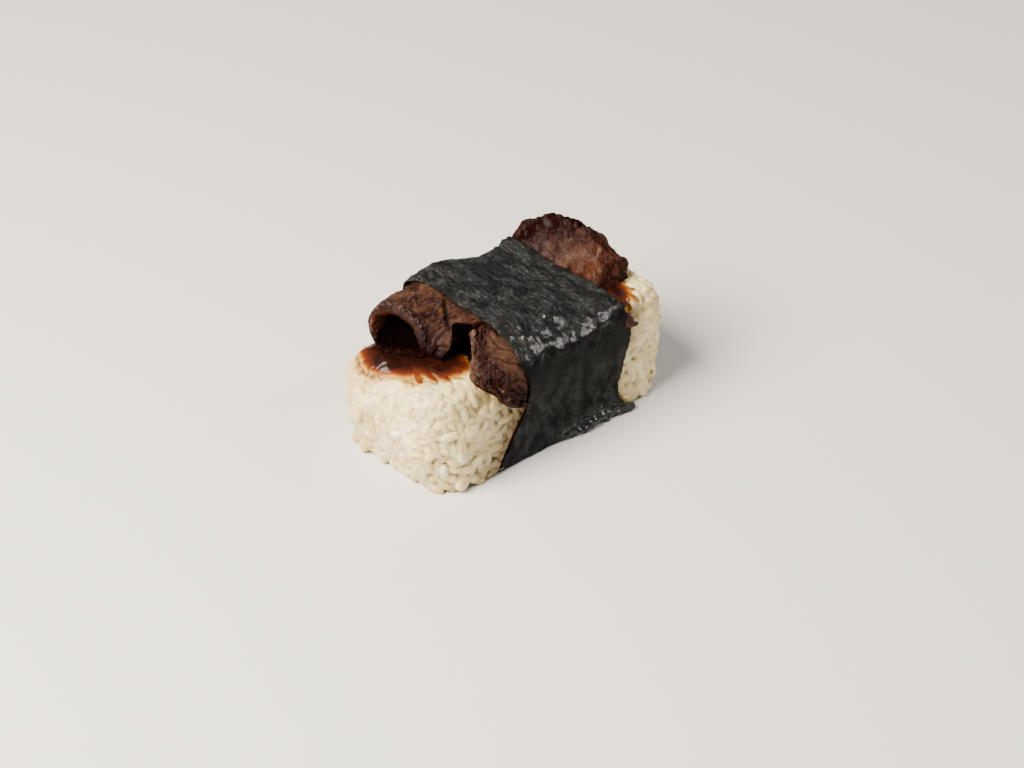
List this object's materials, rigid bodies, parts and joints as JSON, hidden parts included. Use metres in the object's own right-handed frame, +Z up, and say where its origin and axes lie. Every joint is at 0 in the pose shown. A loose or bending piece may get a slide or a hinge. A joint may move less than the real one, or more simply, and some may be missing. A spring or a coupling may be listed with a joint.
{
  "type": "barbecue beef musubi",
  "caption": "Pressed block of short-grain rice under folded slices of glazed beef, held by a band of nori, with sauce on the rice.",
  "frame": {"origin": "on the flat underside, at the middle of the plan's box", "axes": "+X along the block, from the end with the open curl of beef to the end with the rounded slice; +Z up"},
  "size_m": [0.1064, 0.055, 0.0501],
  "materials": {
    "cooked_rice": "moist cooked short-grain rice, stained amber beside the sauce",
    "toasted_nori": "toasted nori, fibrous, dark grey-green, with damp glossy patches",
    "glazed_beef": "thin cooked beef, fibrous and brown, with a satin glaze",
    "soy_glaze": "thick glossy red-brown sauce, amber at its thin edge"
  },
  "bodies": {
    "root": {"rice_block": "cooked_rice", "nori_band": "toasted_nori", "beef_slice_curl": "glazed_beef", "beef_slice_flap": "glazed_beef", "beef_slice_round": "glazed_beef", "sauce_pool_front": "soy_glaze", "sauce_pool_rear": "soy_glaze"}
  },
  "joints": []
}
